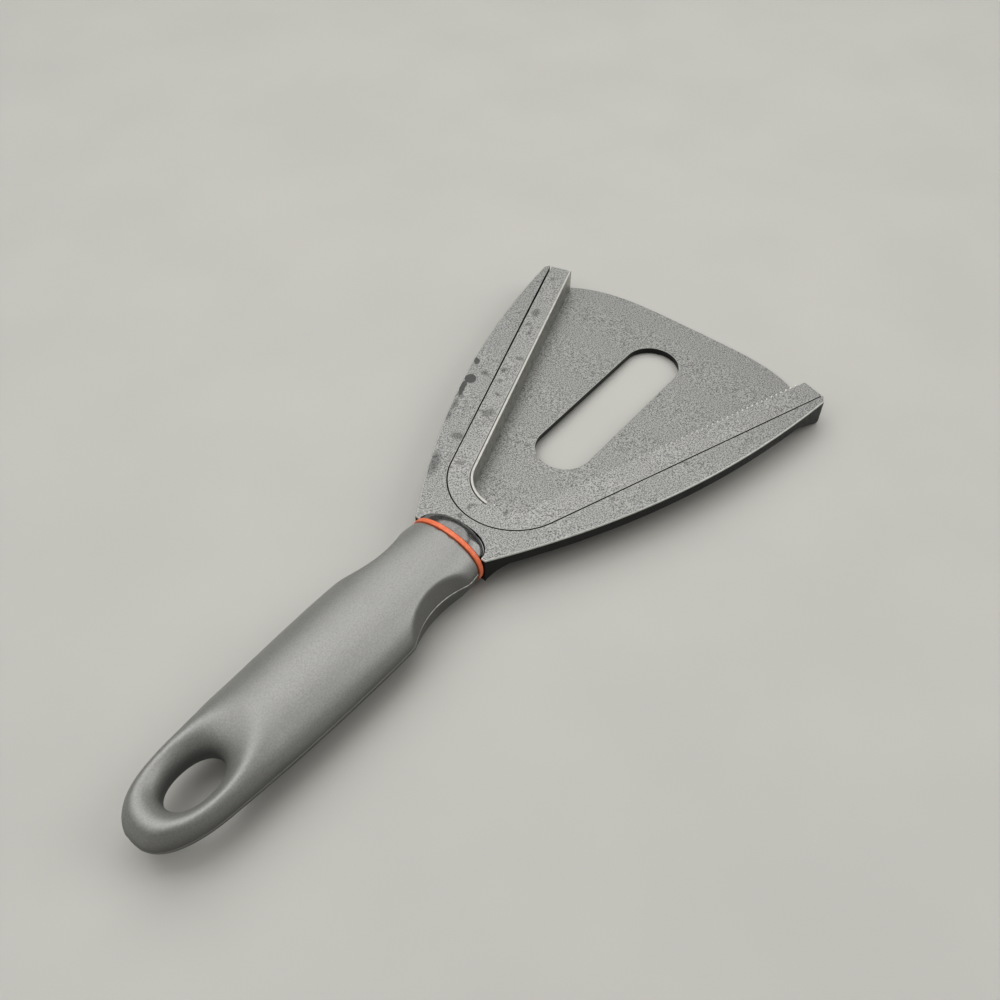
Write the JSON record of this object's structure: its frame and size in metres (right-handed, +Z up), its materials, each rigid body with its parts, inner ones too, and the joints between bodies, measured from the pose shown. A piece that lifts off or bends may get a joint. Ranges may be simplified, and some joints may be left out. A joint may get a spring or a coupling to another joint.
{
  "type": "jar lid opener",
  "caption": "Hand opener for jar lids: a fan-shaped head with a V jaw of smooth and toothed steel, and a soft handle with a hanging hole.",
  "frame": {"origin": "middle of the bounding box, level with the table that the tool lies on", "axes": "+X from the handle to the mouth of the jaw, +Y to the left, +Z up, the way the jaw opens when the tool lies on its back"},
  "size_m": [0.252, 0.1176, 0.0202],
  "materials": {
    "tray_nylon": "fine grained moulded plastic, softly shining, with faint mottling",
    "band_steel": "rolled steel with a bright rounded edge and worn specks",
    "teeth_steel": "punched steel teeth with bright tips",
    "frame_nylon": "fine grained moulded plastic, worn along its edges",
    "collar_gloss": "polished black",
    "ring_accent": "satin orange red",
    "core_plastic": "plain moulded plastic, hidden in the grip",
    "grip_rubber": "soft matt rubber with a fine parting line"
  },
  "bodies": {
    "root": {"jaw_tray": "tray_nylon", "steel_band": "band_steel", "toothed_strip": "teeth_steel", "jaw_frame": "frame_nylon", "neck_collar": "collar_gloss", "accent_ring": "ring_accent", "handle_core": "core_plastic", "soft_grip": "grip_rubber"}
  },
  "joints": []
}
